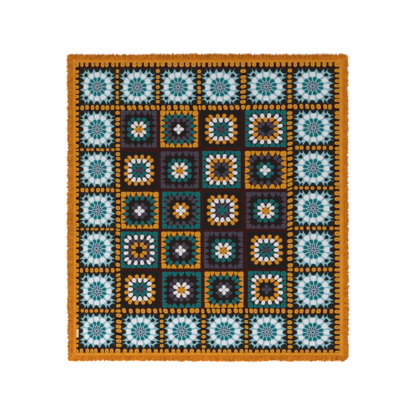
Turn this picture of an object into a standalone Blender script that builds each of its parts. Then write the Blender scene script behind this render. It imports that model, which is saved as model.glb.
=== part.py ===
"""A flat throw printed with granny squares and edged with a mustard brush fringe.

Sizes are in metres and +Z is up. The throw lies face up on the plane z = 0, +Y runs towards the
edge that is at the top of the picture and +X towards its right edge. The origin is under the
middle of the whole outline.
"""

import math
import random
from collections import namedtuple

import bmesh
import bpy
from mathutils import Vector

# The printed cloth
CLOTH_THICK = 0.0020
CLOTH_UNDER_TAPE = 0.75  # how far across the tape the cloth's cut edge reaches

# The trim: a flat heading tape sewn over the cloth's edge, with brush fringe outside it
SEAM_GAP = 0.0003  # parting between two sewn pieces
TAPE_THICK = 0.0015
TAPE_BASE = CLOTH_THICK + SEAM_GAP
TAPE_TOP = TAPE_BASE + TAPE_THICK
MITRE_SHIFT = 0.0003  # each side's end stands back this far along the edge from the mitre

# The locks of the brush fringe
BAY_LOCKS = 4  # locks between two stations of the tape
FAN_LENGTH = 0.085  # stretch at a corner where the locks spread into a fan
CORNER_CUT = 0.30  # how far the tips draw in on the corner's diagonal, as a share of its rounding
ROOT_FILL = 0.93  # a lock's width as a share of its cell, at three places along it
BELLY_FILL = 0.93
TIP_FILL = 0.66
BELLY_AT = 0.55  # where along a lock its belly lies
BELLY_HEIGHT = 0.0062
TIP_HEIGHT = 0.0030
HEIGHT_SPREAD = 0.0011
LENGTH_SPREAD = 0.050  # share of a lock's length
SWAY = 0.10  # share of a cell's width

# The plain woven label at the left tape, near the bottom edge
LABEL_WIDTH = 0.0118
LABEL_LENGTH = 0.0440
LABEL_THICK = 0.0006
LABEL_MIDDLE_Y = -0.6043
LABEL_FOLD = 0.0002

# The trim's corners, anticlockwise seen from above: where the tape starts on the print, where
# its fringe is rooted, where straight lines through the fringe tips would meet, and how far
# the tips round that corner off.
Corner = namedtuple("Corner", "tape_inner tape_outer tips rounding")
CORNERS = (
    Corner((0.6371, -0.7012), (0.6565, -0.7153), (0.6795, -0.7415), 0.034),
    Corner((0.6347, 0.7021), (0.6531, 0.7122), (0.6763, 0.7421), 0.022),
    Corner((-0.6386, 0.6997), (-0.6507, 0.7122), (-0.6807, 0.7409), 0.013),
    Corner((-0.6343, -0.7012), (-0.6483, -0.7162), (-0.6771, -0.7421), 0.014),
)

# Each side runs from its corner to the next one. Its sewn lines bow outward by `bow` at the middle
# of the side. The swells move the line of the tips outward, the first in two half waves along
# the side and the second in three.
Side = namedtuple("Side", "name corner locks bow swell_two swell_three seed")
SIDES = (
    Side("right", 0, 76, 0.0004, 0.0004, 0.0005, 11),
    Side("top", 1, 68, -0.0006, 0.0000, -0.0014, 22),
    Side("left", 2, 76, -0.0007, -0.0017, 0.0000, 33),
    Side("bottom", 3, 68, -0.0004, -0.0013, -0.0008, 44),
)

# Colour as linear RGB, roughness and metallic value
Finish = namedtuple("Finish", "colour roughness metallic")
FINISHES = {
    "printed_cloth": Finish((0.040, 0.019, 0.017), 0.85, 0.0),
    "brush_fringe": Finish((0.510, 0.180, 0.022), 0.90, 0.0),
    "label_weave": Finish((0.800, 0.640, 0.500), 0.75, 0.0),
}


def clear_scene():
    """Empty the file, so that it holds the throw alone."""
    for old in list(bpy.data.objects):
        bpy.data.objects.remove(old, do_unlink=True)


def finish_material(name):
    """One Principled material from the table of finishes."""
    finish = FINISHES[name]
    material = bpy.data.materials.new(name)
    material.use_nodes = True
    shader = material.node_tree.nodes["Principled BSDF"]
    shader.inputs["Base Color"].default_value = (*finish.colour, 1.0)
    shader.inputs["Roughness"].default_value = finish.roughness
    shader.inputs["Metallic"].default_value = finish.metallic
    return material


def add_piece(name, bm, material):
    """Turn a closed bmesh into the object of one sub-part."""
    bmesh.ops.recalc_face_normals(bm, faces=bm.faces)
    mesh = bpy.data.meshes.new(name)
    bm.to_mesh(mesh)
    bm.free()
    mesh.materials.append(material)
    piece = bpy.data.objects.new(name, mesh)
    bpy.context.collection.objects.link(piece)
    return piece


def corner_pair(side, ring):
    """The two corners of one ring that a side runs between."""
    start = CORNERS[side.corner]
    end = CORNERS[(side.corner + 1) % len(CORNERS)]
    return Vector(getattr(start, ring)), Vector(getattr(end, ring))


def ring_length(side, ring):
    """The length of a side, from corner to corner of one ring."""
    start, end = corner_pair(side, ring)
    return (end - start).length


def outward(side):
    """The level direction from the cloth's middle out through a side."""
    start, end = corner_pair(side, "tape_outer")
    along = (end - start).normalized()
    return Vector((along.y, -along.x))


def bow_out(side, share):
    """How far the sewn lines of a side stand out at this share of its length."""
    return outward(side) * side.bow * math.sin(math.pi * share)


def seam_line(side, depth):
    """Both ends of a line along a side, from depth 0 at the tape's inner edge to 1 at the roots."""
    inner_start, inner_end = corner_pair(side, "tape_inner")
    outer_start, outer_end = corner_pair(side, "tape_outer")
    return inner_start.lerp(outer_start, depth), inner_end.lerp(outer_end, depth)


def across_tape(side, share, depth, shift=0.0):
    """A point of the trim at this share of its length and this depth across its tape."""
    start, end = seam_line(side, depth)
    trim = MITRE_SHIFT / (end - start).length
    place = start.lerp(end, trim + share * (1.0 - 2.0 * trim))
    return place + bow_out(side, share) + outward(side) * shift


def cloth_edge(side, share):
    """A point on the cloth's cut edge, under the tape."""
    start, end = seam_line(side, CLOTH_UNDER_TAPE)
    return start.lerp(end, share) + bow_out(side, share)


def tip_path(side, distance):
    """A point on the line of the fringe tips, this far along it from the first corner."""
    start, end = corner_pair(side, "tips")
    along = (end - start).normalized()
    out = outward(side)
    first = CORNERS[side.corner].rounding
    last = CORNERS[(side.corner + 1) % len(CORNERS)].rounding
    straight = (end - start).length - first - last
    share = (distance - first) / straight
    swell = side.swell_two * math.sin(2.0 * math.pi * share)
    swell += side.swell_three * math.sin(3.0 * math.pi * share)
    if distance < first:
        inset = first * CORNER_CUT * (1.0 - distance / first) ** 2
        return start + along * (distance + inset) - out * inset
    if distance > first + straight:
        inset = last * CORNER_CUT * ((distance - first - straight) / last) ** 2
        return start + along * (distance - inset) - out * inset
    return start + along * distance + out * swell


def root_share(side, distance):
    """Where along the tape a lock is rooted, when its tip lies this far along the tip path."""
    tips_length = ring_length(side, "tips")
    tape_length = ring_length(side, "tape_outer")
    spare = (tips_length - tape_length) / 2.0
    from_end = min(distance, tips_length - distance)
    drawn_in = spare
    if from_end < FAN_LENGTH:
        drawn_in = spare * (1.0 - (1.0 - from_end / FAN_LENGTH) ** 2)
    from_tape_end = from_end - drawn_in
    if distance < tips_length / 2.0:
        return from_tape_end / tape_length
    return 1.0 - from_tape_end / tape_length


class Lock:
    """One lock of the fringe inside its own cell, so that it stands apart from its neighbours."""

    def __init__(self, side, index, draw):
        clear = MITRE_SHIFT * 2.0
        pitch = (ring_length(side, "tips") - 2.0 * clear) / side.locks
        self.side = side
        self.bounds = (clear + index * pitch, clear + (index + 1) * pitch)
        self.stretch = 1.0 + draw.uniform(-LENGTH_SPREAD, LENGTH_SPREAD)
        self.belly = BELLY_HEIGHT + draw.uniform(-HEIGHT_SPREAD, HEIGHT_SPREAD)
        self.tip = TIP_HEIGHT + draw.uniform(-HEIGHT_SPREAD, HEIGHT_SPREAD) / 2.0
        self.sway = draw.uniform(-SWAY, SWAY)

    def width_at(self, level, fill, sway):
        """The lock's two sides at a level, from 0 at the tape to 1 at the tip path."""
        pair = []
        for distance in self.bounds:
            share = root_share(self.side, distance)
            root = across_tape(self.side, share, 1.0)
            pair.append(root.lerp(tip_path(self.side, distance), level))
        middle = (1.0 + sway) / 2.0
        low = middle - fill / 2.0
        high = middle + fill / 2.0
        return pair[0].lerp(pair[1], low), pair[0].lerp(pair[1], high)


def ring_of(bm, pair, height):
    """The four corners of a lock's section: two on top, then the two under them on the floor."""
    first, second = pair
    places = (
        (*first, height),
        (*second, height),
        (*second, 0.0),
        (*first, 0.0),
    )
    return [bm.verts.new(place) for place in places]


def bridge_rings(bm, near, far):
    """Join two sections of a lock with four faces."""
    for corner in range(4):
        after = (corner + 1) % 4
        bm.faces.new((near[corner], near[after], far[after], far[corner]))


def grow_lock(bm, lock, root):
    """Grow one lock out of its root on the tape's outer face."""
    belly = ring_of(bm, lock.width_at(BELLY_AT, BELLY_FILL, lock.sway / 2.0), lock.belly)
    tip = ring_of(bm, lock.width_at(lock.stretch, TIP_FILL, lock.sway), lock.tip)
    bridge_rings(bm, root, belly)
    bridge_rings(bm, belly, tip)
    bm.faces.new(tip)


def tape_station(bm, side, share):
    """The tape's corners on the cloth's side, at one station along the trim."""
    inner = across_tape(side, share, 0.0)
    foot = across_tape(side, share, CLOTH_UNDER_TAPE, SEAM_GAP)
    return {
        "inner_low": bm.verts.new((*inner, TAPE_BASE)),
        "inner_top": bm.verts.new((*inner, TAPE_TOP)),
        "foot_low": bm.verts.new((*foot, 0.0)),
        "foot_top": bm.verts.new((*foot, TAPE_BASE)),
    }


def tape_end(bm, side, share):
    """The outer face's two corners at an end of the tape."""
    outer = across_tape(side, share, 1.0)
    return bm.verts.new((*outer, TAPE_TOP)), bm.verts.new((*outer, 0.0))


def close_end(bm, station, outer):
    """The mitred face that closes one end of the tape."""
    names = ("foot_low", "foot_top", "inner_low", "inner_top")
    bm.faces.new([station[name] for name in names] + list(outer))


def fringe_mesh(side):
    """One side's heading tape with its locks, as one closed body."""
    bm = bmesh.new()
    draw = random.Random(side.seed)
    locks = [Lock(side, index, draw) for index in range(side.locks)]
    roots = [ring_of(bm, lock.width_at(0.0, ROOT_FILL, 0.0), TAPE_TOP) for lock in locks]
    for lock, root in zip(locks, roots):
        grow_lock(bm, lock, root)

    # The outer face's corners in order, top and bottom, from one mitre to the other
    edge = [tape_end(bm, side, 0.0)]
    for root in roots:
        edge.append((root[0], root[3]))
        edge.append((root[1], root[2]))
    edge.append(tape_end(bm, side, 1.0))
    for gap in range(0, len(edge), 2):
        (top, low), (next_top, next_low) = edge[gap], edge[gap + 1]
        bm.faces.new((top, next_top, next_low, low))

    bays = side.locks // BAY_LOCKS
    joins = [0] + [2 * BAY_LOCKS * bay for bay in range(1, bays)] + [len(edge) - 1]
    shares = [root_share(side, locks[BAY_LOCKS * bay].bounds[0]) for bay in range(1, bays)]
    stations = [tape_station(bm, side, share) for share in (0.0, *shares, 1.0)]
    for bay in range(bays):
        here, there = stations[bay], stations[bay + 1]
        span = edge[joins[bay]:joins[bay + 1] + 1]
        bm.faces.new([there["inner_top"], here["inner_top"]] + [top for top, low in span])
        bm.faces.new([there["foot_low"], here["foot_low"]] + [low for top, low in span])
        for a, b in (("inner_top", "inner_low"), ("inner_low", "foot_top"), ("foot_top", "foot_low")):
            bm.faces.new((here[a], there[a], there[b], here[b]))
    close_end(bm, stations[0], edge[0])
    close_end(bm, stations[-1], edge[-1])
    return bm


def cloth_mesh():
    """The printed panel, a flat sheet whose cut edge follows the trim's foot."""
    bm = bmesh.new()
    outline = []
    for side in SIDES:
        bays = side.locks // BAY_LOCKS
        for bay in range(bays):
            outline.append(cloth_edge(side, bay / bays))
    underside = bm.faces.new([bm.verts.new((*place, 0.0)) for place in outline])
    raised = bmesh.ops.extrude_face_region(bm, geom=[underside])
    lifted = [part for part in raised["geom"] if isinstance(part, bmesh.types.BMVert)]
    bmesh.ops.translate(bm, verts=lifted, vec=(0.0, 0.0, CLOTH_THICK))
    return bm


def label_mesh():
    """The blank label, a thin strip that lies on the print against the left tape."""
    left = next(side for side in SIDES if side.name == "left")
    start, end = corner_pair(left, "tape_inner")
    share = (start.y - LABEL_MIDDLE_Y) / (start.y - end.y)
    tape_edge = across_tape(left, share, 0.0)
    middle_x = tape_edge.x + SEAM_GAP * 2.0 + LABEL_WIDTH / 2.0
    bm = bmesh.new()
    bmesh.ops.create_cube(bm, size=1.0)
    bmesh.ops.scale(bm, verts=bm.verts, vec=(LABEL_WIDTH, LABEL_LENGTH, LABEL_THICK))
    place = (middle_x, LABEL_MIDDLE_Y, TAPE_BASE + LABEL_THICK / 2.0)
    bmesh.ops.translate(bm, verts=bm.verts, vec=place)
    free_side = [edge for edge in bm.edges if all(vert.co.x > middle_x for vert in edge.verts)]
    free_edges = [edge for edge in free_side if edge.calc_length() > LABEL_LENGTH / 2.0]
    bmesh.ops.bevel(bm, geom=free_edges, offset=LABEL_FOLD, segments=2, profile=0.5, affect="EDGES")
    return bm


def build_throw():
    """All the sub-parts of the throw."""
    clear_scene()
    add_piece("printed_cloth", cloth_mesh(), finish_material("printed_cloth"))
    mustard = finish_material("brush_fringe")
    for side in SIDES:
        add_piece("fringe_" + side.name, fringe_mesh(side), mustard)
    add_piece("side_label", label_mesh(), finish_material("label_weave"))


build_throw()
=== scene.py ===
# %% [markdown]
# # A printed granny square throw with a brush fringe
#
# The real throw is one flat cloth with granny squares printed on it. A mustard tape with a brush
# fringe is sewn round its edges. This lesson dresses the plain solids of the part: it gives the
# cloth its print, and it makes the tape, the yarns and the label. Sizes are in metres, +Z is up.
#
# The solids come first, as a frame that stays as it is. Each new piece names the solid that it
# stands for, so that nothing ends up in another place than the part's own.

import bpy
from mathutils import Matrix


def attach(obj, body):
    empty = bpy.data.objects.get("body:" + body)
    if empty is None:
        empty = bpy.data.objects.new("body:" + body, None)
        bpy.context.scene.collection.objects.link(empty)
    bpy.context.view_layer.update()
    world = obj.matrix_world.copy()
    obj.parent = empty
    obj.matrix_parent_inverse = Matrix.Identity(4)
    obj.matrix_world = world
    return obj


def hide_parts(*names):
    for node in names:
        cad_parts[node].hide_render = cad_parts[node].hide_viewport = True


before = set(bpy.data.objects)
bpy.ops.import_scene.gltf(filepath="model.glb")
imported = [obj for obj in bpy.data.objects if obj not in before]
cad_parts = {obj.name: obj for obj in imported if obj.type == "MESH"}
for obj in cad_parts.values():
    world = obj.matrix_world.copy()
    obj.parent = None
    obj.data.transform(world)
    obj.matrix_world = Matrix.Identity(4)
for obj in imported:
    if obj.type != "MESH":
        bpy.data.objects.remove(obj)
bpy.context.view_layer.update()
print("solids:", sorted(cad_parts))

# %% Other modules and small helpers
import math
from collections import namedtuple

import bpy
import numpy as np
from mathutils import Vector

MM = 0.001


def linear(hex_code):
    """An sRGB hex colour as linear red, green, blue and alpha."""
    shares = [int(hex_code[at:at + 2], 16) / 255.0 for at in (0, 2, 4)]
    curve = [s / 12.92 if s <= 0.04045 else ((s + 0.055) / 1.055) ** 2.4 for s in shares]
    return (*curve, 1.0)


def deselect_all():
    """Leave edit mode and select nothing, so that an operator acts on its own piece alone."""
    if bpy.context.mode != "OBJECT":
        bpy.ops.object.mode_set(mode="OBJECT")
    bpy.ops.object.select_all(action="DESELECT")


def pick(piece):
    """Make one piece the active and only selected one."""
    deselect_all()
    piece.select_set(True)
    bpy.context.view_layer.objects.active = piece


# %% [markdown]
# ## Camera, floor and light
#
# The photograph looks straight down from far away, so the camera hangs over the middle with a long
# lens. A long lens from a height keeps the edges of a flat cloth straight. An orthographic camera
# would do that too, but then the thickness of the fringe wouldn't show at all.
#
# The floor is a plain sheet of white paper. The light is a white room, plus one large soft lamp
# beyond the bottom left corner, because the throw is a little brighter there in the photograph.

# %% Camera
VIEW_MIDDLE = (0.0017, -0.0025)
VIEW_WIDTH = 2.009
LENS = 85.0
SENSOR = 36.0

camera = bpy.data.objects.new("camera", bpy.data.cameras.new("camera"))
bpy.context.collection.objects.link(camera)
camera.data.lens = LENS
camera.data.sensor_width = SENSOR
camera.location = (*VIEW_MIDDLE, VIEW_WIDTH * LENS / SENSOR)
bpy.context.scene.camera = camera
bpy.context.scene.view_settings.view_transform = "Standard"
print("camera height:", round(camera.location.z, 3), "m")


# %% A function that adds one shader node
def add_node(tree, kind, feeds=None, **settings):
    """One shader node with its settings, its input values and the links into it."""
    made = tree.nodes.new("ShaderNode" + kind)
    for name, value in settings.items():
        setattr(made, name, value)
    for key, value in (feeds or {}).items():
        if isinstance(value, bpy.types.NodeSocket):
            tree.links.new(value, made.inputs[key])
        else:
            made.inputs[key].default_value = value
    return made


# %% Floor
FLOOR_SIZE = 14.0

paper = bpy.data.materials.new("matt_white_paper")
paper.use_nodes = True
paper_tree = paper.node_tree
grain = add_node(paper_tree, "TexNoise", {"Scale": 400.0, "Detail": 3.0})
paper_coordinates = add_node(paper_tree, "TexCoord")
paper_tree.links.new(paper_coordinates.outputs["Object"], grain.inputs["Vector"])
paper_feeds = {"Height": grain.outputs[0], "Strength": 0.03, "Distance": 0.001}
paper_bump = add_node(paper_tree, "Bump", paper_feeds)
paper_shader = paper_tree.nodes["Principled BSDF"]
paper_shader.inputs["Base Color"].default_value = linear("F9F9F8")
paper_shader.inputs["Roughness"].default_value = 0.9
paper_shader.inputs["Specular IOR Level"].default_value = 0.2
paper_tree.links.new(paper_bump.outputs[0], paper_shader.inputs["Normal"])

deselect_all()
bpy.ops.mesh.primitive_plane_add(size=FLOOR_SIZE, location=(0.0, 0.0, -0.0003))
floor = bpy.context.object
floor.name = "floor"
floor.data.materials.append(paper)

# %% Light
ROOM_LIGHT = 1.0
LAMP_PLACE = (-1.2, -2.4, 2.5)
LAMP_AIM = (0.0, 0.0, 0.0)
LAMP_SIZE = 1.8
LAMP_POWER = 62.0

room = bpy.data.worlds.new("white_room")
room.use_nodes = True
room.node_tree.nodes["Background"].inputs["Color"].default_value = (1.0, 1.0, 1.0, 1.0)
room.node_tree.nodes["Background"].inputs["Strength"].default_value = ROOM_LIGHT
bpy.context.scene.world = room

lamp = bpy.data.objects.new("soft_lamp", bpy.data.lights.new("soft_lamp", "AREA"))
bpy.context.collection.objects.link(lamp)
lamp.data.shape = "DISK"
lamp.data.size = LAMP_SIZE
lamp.data.energy = LAMP_POWER
lamp.location = LAMP_PLACE
aim = Vector(LAMP_AIM) - Vector(LAMP_PLACE)
lamp.rotation_euler = aim.to_track_quat("-Z", "Y").to_euler()
print("lamp:", LAMP_POWER, "W,", LAMP_SIZE, "m across")

# %% [markdown]
# ## The lines that everything follows
#
# The trim isn't quite straight: each side of the tape bows a little, and the fringe swells and
# rounds the corners. These lines are the part's own, in the same numbers. Everything that is sewn
# along an edge asks them where it belongs.

# %% Corners and sides of the trim
CLOTH_TOP = 0.0020
CLOTH_UNDER_TAPE = 0.75
CORNER_CUT = 0.30
FAN_LENGTH = 0.085
END_CLEAR = 0.0006

Corner = namedtuple("Corner", "tape_inner tape_outer tips rounding")
CORNERS = (
    Corner((0.6371, -0.7012), (0.6565, -0.7153), (0.6795, -0.7415), 0.034),
    Corner((0.6347, 0.7021), (0.6531, 0.7122), (0.6763, 0.7421), 0.022),
    Corner((-0.6386, 0.6997), (-0.6507, 0.7122), (-0.6807, 0.7409), 0.013),
    Corner((-0.6343, -0.7012), (-0.6483, -0.7162), (-0.6771, -0.7421), 0.014),
)
Side = namedtuple("Side", "name corner bow swell_two swell_three seed past darker")
SIDES = (  # the yarns reach past the tips' line; darker is painted light and shade, a power that makes one side's yarns darker or lighter for how the light falls on that side
    Side("right", 0, 0.0004, 0.0004, 0.0005, 11, 0.0024, 0.70),
    Side("top", 1, -0.0006, 0.0000, -0.0014, 22, 0.0004, 1.30),
    Side("left", 2, -0.0007, -0.0017, 0.0000, 33, 0.0006, 0.88),
    Side("bottom", 3, -0.0004, -0.0013, -0.0008, 44, 0.0028, 1.05),
)


def corner_pair(side, ring):
    """The two corners of one ring that a side runs between."""
    start = CORNERS[side.corner]
    end = CORNERS[(side.corner + 1) % len(CORNERS)]
    return Vector(getattr(start, ring)), Vector(getattr(end, ring))


def outward(side):
    """The level direction out through a side."""
    start, end = corner_pair(side, "tape_outer")
    along = (end - start).normalized()
    return Vector((along.y, -along.x))


def seam_place(side, share, depth):
    """A point of the tape, from depth 0 at its inner edge to 1 at the yarns' roots."""
    inner_start, inner_end = corner_pair(side, "tape_inner")
    outer_start, outer_end = corner_pair(side, "tape_outer")
    start = inner_start.lerp(outer_start, depth)
    end = inner_end.lerp(outer_end, depth)
    return start.lerp(end, share) + outward(side) * side.bow * math.sin(math.pi * share)


def tips_length(side):
    """The length of the straight line from tip corner to tip corner."""
    start, end = corner_pair(side, "tips")
    return (end - start).length


def tip_place(side, distance):
    """A point on the line of the fringe tips, this far along it."""
    start, end = corner_pair(side, "tips")
    along = (end - start).normalized()
    out = outward(side)
    first = CORNERS[side.corner].rounding
    last = CORNERS[(side.corner + 1) % len(CORNERS)].rounding
    straight = (end - start).length - first - last
    share = (distance - first) / straight
    if distance < first:
        inset = first * CORNER_CUT * (1.0 - distance / first) ** 2
        return start + along * (distance + inset) - out * inset
    if distance > first + straight:
        inset = last * CORNER_CUT * ((distance - first - straight) / last) ** 2
        return start + along * (distance - inset) - out * inset
    swell = side.swell_two * math.sin(2.0 * math.pi * share)
    swell += side.swell_three * math.sin(3.0 * math.pi * share)
    return start + along * distance + out * swell


def root_place(side, distance):
    """The root on the tape of a yarn whose tip lies this far along the line of the tips."""
    whole = tips_length(side)
    start, end = corner_pair(side, "tape_outer")
    tape = (end - start).length
    spare = (whole - tape) / 2.0
    from_end = min(distance, whole - distance)
    fan = max(0.0, 1.0 - from_end / FAN_LENGTH)
    share = (from_end - spare * (1.0 - fan ** 2)) / tape
    if distance > whole / 2.0:
        share = 1.0 - share
    return seam_place(side, share, 1.0)


for side in SIDES:
    print(side.name, "tips:", round(tips_length(side), 3), "m")

# %% [markdown]
# ## Where the squares lie
#
# The print is a layout of six by seven squares, and it isn't drawn with a ruler. Dotted sashes cross
# the cloth from edge to edge and part the outer ring of squares, while only a narrow plain strip
# parts the inner ones. So each row has its own places for its squares, and each column too.
#
# The tables give, in millimetres from the middle of the throw, the middles of the strips between
# the squares and the middles of the motifs.

# %% Tables of the layout
Row = namedtuple(
    "Row",
    "strip_1 strip_2 strip_3 strip_4 strip_5 motif_1 motif_2 motif_3 motif_4 motif_5 motif_6",
)
ROWS = (
    Row(-436, -241, -41, 172, 396, -534, -341, -144, 58, 282, 506),
    Row(-434, -237, -37, 171, 397, -534, -333, -141, 64, 280, 511),
    Row(-433, -235, -34, 170, 398, -531, -331, -136, 66, 276, 509),
    Row(-432, -228, -27, 175, 398, -532, -330, -131, 71, 280, 508),
    Row(-434, -232, -26, 181, 397, -537, -332, -132, 76, 283, 511),
    Row(-431, -228, -23, 184, 397, -536, -327, -127, 78, 284, 511),
    Row(-430, -222, -20, 187, 397, -537, -325, -125, 80, 285, 506),
)
Column = namedtuple(
    "Column",
    "strip_1 strip_2 strip_3 strip_4 strip_5 strip_6 "
    "motif_1 motif_2 motif_3 motif_4 motif_5 motif_6 motif_7",
)
COLUMNS = (
    Column(482, 279, 84, -105, -303, -499, 583, 377, 184, -14, -199, -405, -596),
    Column(482, 279, 83, -110, -301, -499, 579, 378, 179, -17, -205, -394, -601),
    Column(482, 280, 84, -110, -303, -499, 580, 378, 178, -15, -208, -398, -599),
    Column(482, 282, 85, -110, -302, -499, 578, 376, 183, -13, -209, -398, -598),
    Column(484, 282, 82, -110, -300, -499, 584, 379, 180, -16, -205, -395, -602),
    Column(487, 288, 94, -100, -300, -501, 586, 385, 188, -5, -203, -402, -603),
)
STRIP_WIDTHS = {  # of the five strips from left to right, in mm
    "top row": (20, 21, 20, 32, 28),
    "inner row": (28, 16, 16, 20, 34),
    "bottom row": (36, 21, 23, 20, 31),
}
STRIP_HEIGHTS = {  # of the six strips from top to bottom, in mm
    "left column": (28, 15, 23, 13, 25, 20),
    "inner column": (28, 18, 15, 13, 15, 28),
    "right column": (30, 22, 18, 19, 22, 26),
}
PRINT_LEFT = (-616.5, -618.5)  # the outer squares' far edges, at the two ends of each side
PRINT_RIGHT = (608.5, 608.5)
PRINT_TOP = (669.5, 671.5)
PRINT_BOTTOM = (-679.0, -684.0)
DOTS_ACROSS = (7, 6, 6, 7, 7, 7)  # beside each column's squares
DOTS_DOWN = (7, 7, 7, 6, 6, 7, 7)  # beside each row's squares

WIDE = len(COLUMNS)
TALL = len(ROWS)
print(WIDE, "squares across,", TALL, "squares down")


# %% Where the squares' edges come out
def strip_widths(row):
    """The widths of the strips between the squares of one row."""
    kind = {0: "top row", TALL - 1: "bottom row"}.get(row, "inner row")
    return STRIP_WIDTHS[kind]


def strip_heights(column):
    """The heights of the strips between the squares of one column."""
    kind = {0: "left column", WIDE - 1: "right column"}.get(column, "inner column")
    return STRIP_HEIGHTS[kind]


def lerp(start, end, share):
    """A number between two others."""
    return start + (end - start) * share


def square_across(row, column):
    """Left edge, motif's middle and right edge of one square, in metres."""
    strips = ROWS[row][:WIDE - 1]
    widths = strip_widths(row)
    left = lerp(*PRINT_LEFT, row / (TALL - 1))
    right = lerp(*PRINT_RIGHT, row / (TALL - 1))
    if column > 0:
        left = strips[column - 1] + widths[column - 1] / 2.0
    if column < WIDE - 1:
        right = strips[column] - widths[column] / 2.0
    return left * MM, ROWS[row][WIDE - 1 + column] * MM, right * MM


def square_down(row, column):
    """Top edge, motif's middle and bottom edge of one square, in metres."""
    strips = COLUMNS[column][:TALL - 1]
    heights = strip_heights(column)
    top = lerp(*PRINT_TOP, column / (WIDE - 1))
    bottom = lerp(*PRINT_BOTTOM, column / (WIDE - 1))
    if row > 0:
        top = strips[row - 1] - heights[row - 1] / 2.0
    if row < TALL - 1:
        bottom = strips[row] + heights[row] / 2.0
    return top * MM, COLUMNS[column][TALL - 1 + row] * MM, bottom * MM


sample = square_across(1, 1)
print("square 1,1:", round((sample[2] - sample[0]) / MM), "mm wide")

# %% [markdown]
# ## The cloth's sheet
#
# The cloth is one sheet, so it is one mesh: a grid primitive whose lines are then moved to the
# edges and the middles of the squares. Each face between two lines belongs to one patch, and the
# patch says what is printed there: half a square, a strip with dots, or plain ground. The print
# itself is drawn later by the materials, in each patch's own coordinates.

# %% Patches between the grid's main lines
HALF_SQUARE_CELLS = 6  # faces across half a square
MAIN_ACROSS = 3 * WIDE + 2
MAIN_DOWN = 3 * TALL + 2


def patch_kind(index):
    """Whether a patch is in the border, in a square (and which half) or in a strip."""
    if index == 0:
        return "border", -1, 0
    number, part = divmod(index - 1, 3)
    if part == 2:
        return "strip", number, 0
    return "square", number, part


def patch_cells(index, last):
    """How many faces a patch has from side to side."""
    if index in (0, last):
        return 2
    return HALF_SQUARE_CELLS if patch_kind(index)[0] == "square" else 1


def main_lines(last):
    """For each line of the fine grid: the patch that it is in, and how far across it."""
    lines = []
    for index in range(last):
        cells = patch_cells(index, last - 1)
        lines += [(index, cell / cells) for cell in range(cells)]
    return lines + [(last - 1, 1.0)]


LINES_ACROSS = main_lines(MAIN_ACROSS - 1)
LINES_DOWN = main_lines(MAIN_DOWN - 1)
print("grid:", len(LINES_ACROSS), "by", len(LINES_DOWN), "lines")


# %% Where the main lines cross
def cloth_edge(name, share):
    """A point of the cloth's cut edge, under the tape."""
    side = next(side for side in SIDES if side.name == name)
    return seam_place(side, share, CLOTH_UNDER_TAPE)


def edge_at(name, axis, value):
    """The point of the cloth's edge on one side, where one coordinate has this value."""
    low = cloth_edge(name, 0.0)[axis]
    high = cloth_edge(name, 1.0)[axis]
    return cloth_edge(name, (value - low) / (high - low))


def main_crossing(across, down):
    """The place where two main lines cross."""
    column = min(max((across - 1) // 3, 0), WIDE - 1)
    row = min(max((down - 1) // 3, 0), TALL - 1)
    x = square_across(row, column)[(across - 1) % 3]
    y = square_down(row, column)[(down - 1) % 3]
    side_across = {0: "left", MAIN_ACROSS - 1: "right"}.get(across)
    side_down = {0: "top", MAIN_DOWN - 1: "bottom"}.get(down)
    if side_across and side_down:
        return cloth_edge(side_across, 0.0 if (side_across == "left") == (side_down == "top") else 1.0)
    if side_across:
        return edge_at(side_across, 1, y)
    if side_down:
        return edge_at(side_down, 0, x)
    return Vector((x, y))


CROSSINGS = np.array([[main_crossing(a, d) for a in range(MAIN_ACROSS)] for d in range(MAIN_DOWN)])
print("cloth's corners:", CROSSINGS[0, 0].round(4), CROSSINGS[-1, -1].round(4))

# %% The sheet's mesh
WAVE_HEIGHT = 0.0003
WAVE_LENGTH = 0.31


def sheet_place(line_across, line_down):
    """A point of the sheet's top, between the main lines round its patch."""
    a, share_a = line_across
    d, share_d = line_down
    upper = CROSSINGS[d, a] * (1.0 - share_a) + CROSSINGS[d, a + 1] * share_a
    lower = CROSSINGS[d + 1, a] * (1.0 - share_a) + CROSSINGS[d + 1, a + 1] * share_a
    x, y = upper * (1.0 - share_d) + lower * share_d
    wave = math.sin(2.0 * math.pi * x / WAVE_LENGTH) * math.sin(2.0 * math.pi * y / WAVE_LENGTH + x)
    return x, y, CLOTH_TOP + WAVE_HEIGHT * (wave - 1.0) / 2.0


deselect_all()
cells_across = len(LINES_ACROSS) - 1
cells_down = len(LINES_DOWN) - 1
bpy.ops.mesh.primitive_grid_add(x_subdivisions=cells_across, y_subdivisions=cells_down, size=1.0)
cloth = bpy.context.object
cloth.name = "printed_cloth_sheet"
ACROSS = len(LINES_ACROSS)
for vertex in cloth.data.vertices:
    line_down, line_across = divmod(vertex.index, ACROSS)
    vertex.co = sheet_place(LINES_ACROSS[line_across], LINES_DOWN[len(LINES_DOWN) - 1 - line_down])
print("sheet:", len(cloth.data.polygons), "faces on top")

# %% [markdown]
# ## The print's coordinates
#
# A UV map called `print` tells each face where it is in its motif. In a square it runs from -1 to 1
# both ways with 0 at the motif's middle, so a motif that sits off centre is stretched a little on
# one side, as it is on the real cloth. In a dotted strip it counts the dots beside each square from
# a number of their own, and runs from -1 to 1 across the dots.
#
# A classic square has five rings of petals, each in its own yarn colour. The colours lie on the
# faces as five attributes, so one material draws all twenty squares.

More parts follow.
